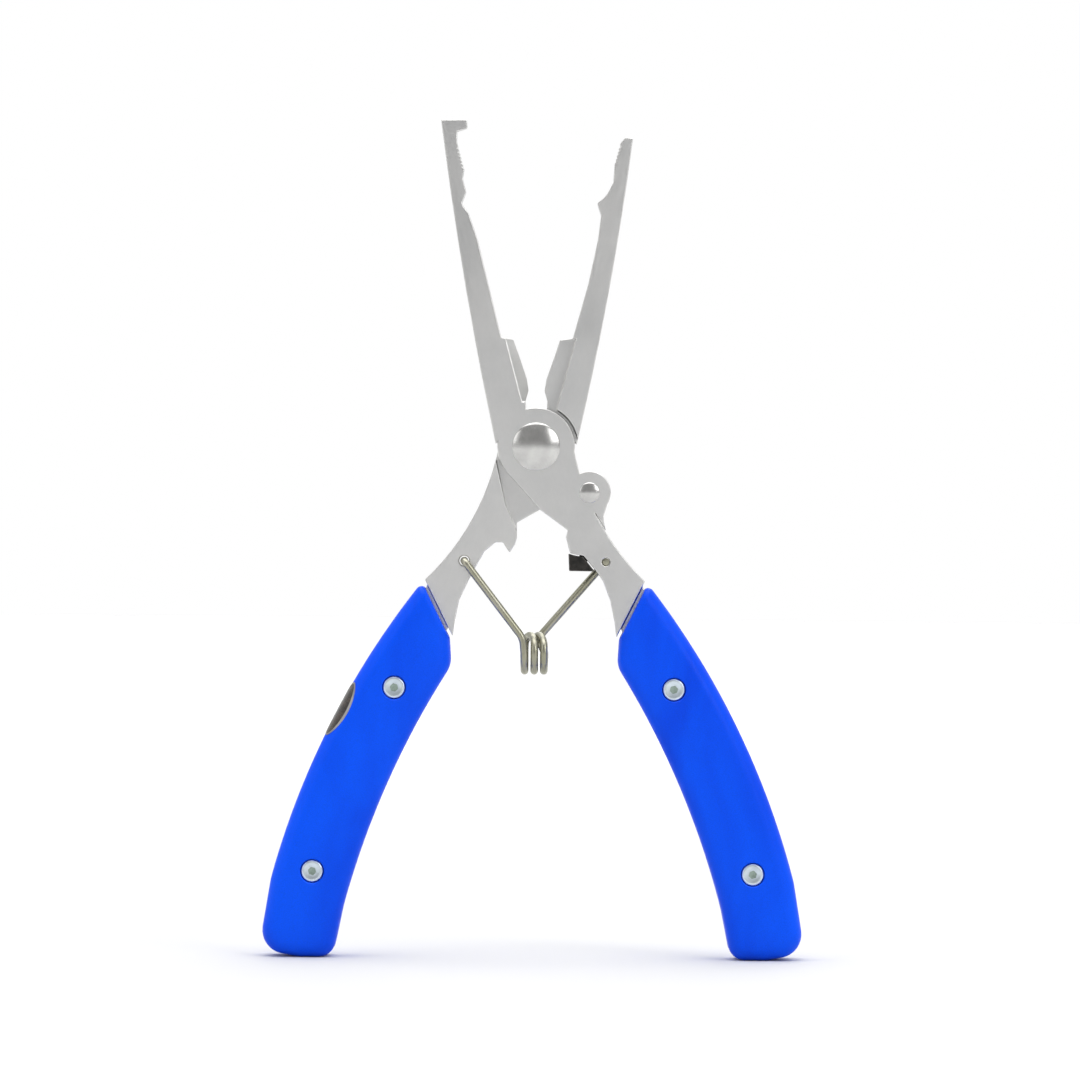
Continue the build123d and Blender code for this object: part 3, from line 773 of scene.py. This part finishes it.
def grip_mesh(side, facing, grid):
    """One grip scale, closed, in millimetres in the closed drawing."""
    rows, columns = len(grid), len(grid[0])
    rim = [(0, j) for j in range(columns)] + [(i, columns - 1) for i in range(1, rows)]
    rim += [(rows - 1, j) for j in range(columns - 2, -1, -1)] + [(i, 0) for i in range(rows - 2, 0, -1)]
    outline = [grid[i][j] for i, j in rim]
    flat = [point for row in grid for point in row]
    top = outline[:columns]
    from_side = distances(flat, outline[columns - 1 :] + outline[:1])
    depth = [grip_thickness(*pair) for pair in zip(from_side, distances(flat, top))]
    bm = bmesh.new()
    verts = []
    for i in range(rows):
        line = []
        for j in range(columns):
            x, z = grid[i][j]
            line.append(bm.verts.new((side * x, facing * depth[i * columns + j], z)))
        verts.append(line)
    for i in range(rows - 1):
        for j in range(columns - 1):
            bm.faces.new((verts[i][j], verts[i + 1][j], verts[i + 1][j + 1], verts[i][j + 1]))
    loop = [verts[i][j] for i, j in rim]
    count = len(outline)
    inward = []
    for k in range(count):
        along = (outline[(k + 1) % count] - outline[k - 1]).normalized()
        inward.append(Vector((along.y, -along.x)))
    middle = sum(outline, Vector((0, 0))) / count
    if inward[0].dot(middle - outline[0]) < 0:
        inward = [-normal for normal in inward]
    for level, inset in ((WALL_TOP, 0), (SEAM + SEAM_HALF, 0), (SEAM_HALF, SEAM), (0.0, SEAM)):
        ring = []
        for point, normal in zip(outline, inward):
            x, z = point + normal * inset
            ring.append(bm.verts.new((side * x, facing * level, z)))
        for k in range(count):
            after = (k + 1) % count
            bm.faces.new((loop[k], loop[after], ring[after], ring[k]))
        loop = ring
    bm.faces.new(loop)
    return bm


# A screw's hole: (radius, depth) pairs from its seat to beyond the grip's face.
SCREW_HOLE = ((0, SCREW_SEAT), (2.76, SCREW_SEAT), (2.76, 7.2), (3.2, 7.64), (3.2, 9), (0, 9))


def drill(centre, facing):
    """The cutter for a screw's seat, wider at the grip's face."""
    bm = bmesh.new()
    turned(bm, centre, [(radius, facing * depth) for radius, depth in SCREW_HOLE], count=72)
    return bm


BADGE_CENTRE = (27.75, -71.4)
BADGE_FRONT = 5.1
BADGE_HALF = (7.0, 2.6)
BADGE_DEPTH = -2.6
BADGE_CUTTER_TOP = 2.0
BADGE_RIM = 0.42
BADGE_RIM_PROUD = 0.10
BADGE_TILT = math.radians(14.0)
BADGE_TO_FRONT = 0.5  # how much the badge looks to the front, against 1 to the side
OVAL_STEPS = 96


def oval(half, bottom, top, hole=None):
    """An oval bar, or a ring around hole, across the left grip's outer edge, and its direction."""
    along = Vector((math.sin(BADGE_TILT), 0, math.cos(BADGE_TILT)))
    out = Vector((-math.cos(BADGE_TILT), -BADGE_TO_FRONT, math.sin(BADGE_TILT))).normalized()
    across = out.cross(along)
    centre = Vector((-BADGE_CENTRE[0], -BADGE_FRONT, BADGE_CENTRE[1]))
    bm = bmesh.new()

    def ring(size, height):
        angles = [2 * math.pi * step / OVAL_STEPS for step in range(OVAL_STEPS)]
        offsets = [along * size[0] * math.cos(t) + across * size[1] * math.sin(t) for t in angles]
        return [bm.verts.new(centre + offset + out * height) for offset in offsets]

    def skin(one, two):
        for step in range(OVAL_STEPS):
            after = (step + 1) % OVAL_STEPS
            bm.faces.new((one[step], one[after], two[after], two[step]))

    low, high = ring(half, bottom), ring(half, top)
    skin(low, high)
    if hole:
        low_in, high_in = ring(hole, bottom), ring(hole, top)
        skin(high_in, low_in)
        skin(high, high_in)
        skin(low_in, low)
    else:
        bm.faces.new(low)
        bm.faces.new(high)
    return bm, out


def add_grips(plastic, badge_material, bezel_material):
    """Two moulded scales on each handle, drilled for their screws, and the badge in the left one."""
    grid = grip_grid()
    for word, side, body in (("left", LEFT, "back"), ("right", RIGHT, "front")):
        for place, facing in (("front", -1), ("back", 1)):
            node = f"{word}_grip_{place}"
            grip = new_object(f"{node}_moulded", grip_mesh(side, facing, grid), [plastic])
            for x, z in SCREWS.values():
                grip = cut(grip, new_object("drill", drill((side * x, z), facing), []))
            if node == "left_grip_front":
                add_badge(grip, badge_material, bezel_material)
            finish_grip(grip, side)
            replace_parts(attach(grip, body), node)


def finish_grip(piece, side):
    """Turns a piece of the closed drawing open and sets its shading."""
    piece.data.transform(opened(side))
    piece.data.shade_smooth()
    piece.data.set_sharp_from_angle(angle=math.radians(GRIP_CREASE))
    even_normals(piece)


def twin(obj, name):
    """A copy of an object with a mesh of its own."""
    copy = bpy.data.objects.new(name, obj.data.copy())
    scene.collection.objects.link(copy)
    return copy


def add_badge(grip, badge_material, bezel_material):
    """Cuts the inlay and its thin metal rim out of the grip's own rounded edge."""
    inlay_half = (BADGE_HALF[0] - BADGE_RIM, BADGE_HALF[1] - BADGE_RIM)
    badge = twin(grip, "left_badge_inlay")
    rim = twin(grip, "left_badge_rim")
    bar, out = oval(inlay_half, BADGE_DEPTH, BADGE_CUTTER_TOP)
    cut(badge, new_object("bar", bar, []), "INTERSECT")
    ring, _ = oval(BADGE_HALF, BADGE_DEPTH, BADGE_CUTTER_TOP, inlay_half)
    cut(rim, new_object("ring", ring, []), "INTERSECT")
    hole, _ = oval(BADGE_HALF, BADGE_DEPTH, BADGE_CUTTER_TOP)
    cut(grip, new_object("hole", hole, []))
    rim.data.transform(Matrix.Translation(out * BADGE_RIM_PROUD))
    for piece, material in ((badge, badge_material), (rim, bezel_material)):
        piece.data.materials.clear()
        piece.data.materials.append(material)
        finish_grip(piece, LEFT)
        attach(piece, "back")
        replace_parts(piece, "left_badge")


# ---------------------------------------------------------------- steel

# The width in millimetres of the rounding on each kind of piece.
BLADE_EDGE = 0.24
LEVER_EDGE = 0.2
TURNED_EDGE = 0.1


def add_steel(satin, edge, black, black_edge, bright):
    """The two halves, the lock lever and the pivot's washer and nut, with softened edges."""
    for node, name, body in (("front_half", "steel_front", "front"), ("back_half", "steel_back", "back")):
        piece = softened_copy(node, name, BLADE_EDGE, [satin[body], edge])
        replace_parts(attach(piece, body), node)
    lever = softened_copy("lock_lever", "lock_lever_black", LEVER_EDGE, [black, black_edge])
    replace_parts(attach(lever, "lever"), "lock_lever")
    for node in ("pivot_washer", "pivot_nut"):
        piece = softened_copy(node, f"{node}_turned", TURNED_EDGE, [bright, edge])
        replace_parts(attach(piece, "front"), node)


# ---------------------------------------------------------------- studio

FLOOR_HALF = 6.0
ROOM = (0.86, 0.87, 0.88)
DARK_FRONT = (0.365, 0.365, 0.365)
CEILING = (3.1, 3.1, 3.1)
BACKDROP = (1.0, 1.0, 1.0)


def add_floor():
    """A wide sheet of pale paper under the pliers."""
    bm = bmesh.new()
    bmesh.ops.create_grid(bm, x_segments=8, y_segments=8, size=FLOOR_HALF)
    floor = new_object("floor", bm, [paper("floor_paper", shade=0.60, far_shade=0.72)])


def softbox(name, place, size, radiance):
    """A square area light that faces the pliers, given its brightness."""
    light = bpy.data.lights.new(name, "AREA")
    light.shape = "SQUARE"
    light.size = size
    light.energy = radiance * math.pi * size * size
    obj = bpy.data.objects.new(name, light)
    obj.location = place
    obj.rotation_euler = (AIM - Vector(place)).to_track_quat("-Z", "Y").to_euler()
    scene.collection.objects.link(obj)


def add_world():
    """A pale room with a bright ceiling, darker in front above the floor, and a white backdrop."""
    world = bpy.data.worlds.new("studio")
    scene.world = world
    world.use_nodes = True
    tree = world.node_tree
    background = tree.nodes["Background"]
    direction = tree.nodes.new("ShaderNodeTexCoord").outputs["Generated"]
    split = tree.nodes.new("ShaderNodeSeparateXYZ")
    tree.links.new(direction, split.inputs[0])

    def rise(source, low, high):
        """0 where the source is at low, 1 where it is at high, and smooth between them."""
        node = tree.nodes.new("ShaderNodeMapRange")
        node.interpolation_type = "SMOOTHSTEP"
        node.inputs["From Min"].default_value = low
        node.inputs["From Max"].default_value = high
        tree.links.new(source, node.inputs["Value"])
        return node.outputs["Result"]

    def times(a, b):
        node = tree.nodes.new("ShaderNodeMath")
        node.operation = "MULTIPLY"
        tree.links.new(a, node.inputs[0])
        tree.links.new(b, node.inputs[1])
        return node.outputs[0]

    def mixed(factor, first, second):
        """Goes from first to the colour second; first is a colour or a node's output."""
        node = tree.nodes.new("ShaderNodeMix")
        node.data_type = "RGBA"
        tree.links.new(factor, node.inputs[0])
        if isinstance(first, tuple):
            node.inputs[6].default_value = (*first, 1)
        else:
            tree.links.new(first, node.inputs[6])
        node.inputs[7].default_value = (*second, 1)
        return node.outputs[2]

    in_front = rise(split.outputs["Y"], 0.05, -0.45)
    above_floor = rise(split.outputs["Z"], -0.02, 0.10)
    overhead = rise(split.outputs["Z"], 0.74, 0.86)
    to_camera = tree.nodes.new("ShaderNodeLightPath").outputs["Is Camera Ray"]
    room = mixed(times(in_front, above_floor), ROOM, DARK_FRONT)
    lit = mixed(overhead, room, CEILING)
    tree.links.new(mixed(to_camera, lit, BACKDROP), background.inputs["Color"])


def add_lights():
    """A key light from the right, a wide fill from the left and a light behind."""
    softbox("key", (0.75, -0.75, 0.6), size=0.6, radiance=3.0)
    softbox("fill", (-1.6, -1.2, 0.9), size=1.1, radiance=1.2)
    softbox("back", (0.3, 1.8, 1.2), size=1.2, radiance=1.2)


# ---------------------------------------------------------------- the scene

add_camera()
add_floor()
add_world()
add_lights()

SATIN_DARK = (0.64, 0.64, 0.635)
satin = {
    "front": steel("satin_front", HALF_OPENING, (0.735, 0.73, 0.72), SATIN_DARK, rough=0.34),
    "back": steel("satin_back", -HALF_OPENING, (0.74, 0.735, 0.725), SATIN_DARK, rough=0.36),
}
edge_steel = polished("worn_edge", (0.68, 0.675, 0.66), rough=0.30)
bright_steel = polished("polished_steel", (0.62, 0.615, 0.60), rough=0.17)
plated_steel = polished("plated_screw", (0.68, 0.77, 0.84), rough=0.28)
bezel_steel = polished("badge_bezel", (0.34, 0.33, 0.33), rough=0.3)
black = black_oxide("black_oxide", (0.012, 0.012, 0.011), worn=(0.05, 0.045, 0.04), rough=0.38)
black_edge = black_oxide("black_oxide_edge", (0.035, 0.033, 0.03), worn=(0.14, 0.13, 0.12), rough=0.30)

add_steel(satin, edge_steel, black, black_edge, bright_steel)
# The second material of the screws and nuts is painted shade for their sockets.
add_fasteners(bright_steel, plated_steel, socket_painted_shade("socket_painted_shade"))
add_spring(spring_steel("spring_wire"))
add_grips(moulded_plastic("blue_plastic"), inlay("badge_inlay"), bezel_steel)
